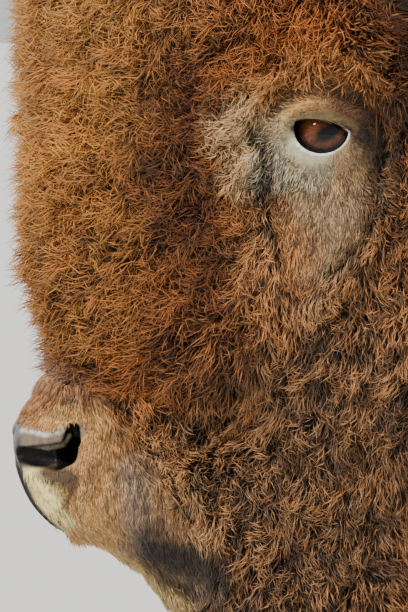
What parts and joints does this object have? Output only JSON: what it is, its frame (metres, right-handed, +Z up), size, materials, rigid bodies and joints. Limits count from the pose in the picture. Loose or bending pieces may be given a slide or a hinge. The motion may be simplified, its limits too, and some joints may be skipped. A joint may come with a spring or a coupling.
{
  "type": "american bison",
  "caption": "Life-size standing American bison bull with curly mop, beard and mane, short curved horns and cloven hooves.",
  "frame": {"origin": "on the floor, under the middle of the animal's length and width", "axes": "+Z up; the animal looks along -Y, from tail to nose, and its left side is at +X"},
  "size_m": [0.6522, 2.6202, 1.7713],
  "materials": {
    "mop_hair": "matt, curly, chestnut brown with paler tips",
    "mane_hair": "matt, long and curly",
    "body_hair": "matt, short and lying flat",
    "dark_hair": "matt, nearly black brown",
    "hide": "soft skin, moist and dark at the nose",
    "horn": "keratin, worn smooth towards the tip",
    "hoof": "keratin, dull",
    "eye": "wet, clear cornea over a dark red-brown iris"
  },
  "bodies": {
    "root": {"beard": "dark_hair", "dewclaw_fore_left_inner": "hoof", "dewclaw_fore_left_outer": "hoof", "dewclaw_fore_right_inner": "hoof", "dewclaw_fore_right_outer": "hoof", "dewclaw_hind_left_inner": "hoof", "dewclaw_hind_left_outer": "hoof", "dewclaw_hind_right_inner": "hoof", "dewclaw_hind_right_outer": "hoof", "ear_left": "mane_hair", "ear_right": "mane_hair", "eye_left": "eye", "eye_right": "eye", "foreleg_left": "dark_hair", "foreleg_right": "dark_hair", "head": "mop_hair", "hindleg_left": "dark_hair", "hindleg_right": "dark_hair", "hoof_fore_left_inner": "hoof", "hoof_fore_left_outer": "hoof", "hoof_fore_right_inner": "hoof", "hoof_fore_right_outer": "hoof", "hoof_hind_left_inner": "hoof", "hoof_hind_left_outer": "hoof", "hoof_hind_right_inner": "hoof", "hoof_hind_right_outer": "hoof", "horn_left": "horn", "horn_right": "horn", "neck": "mane_hair", "tail": "body_hair", "tail_tuft": "dark_hair", "trunk": "body_hair"}
  },
  "joints": []
}
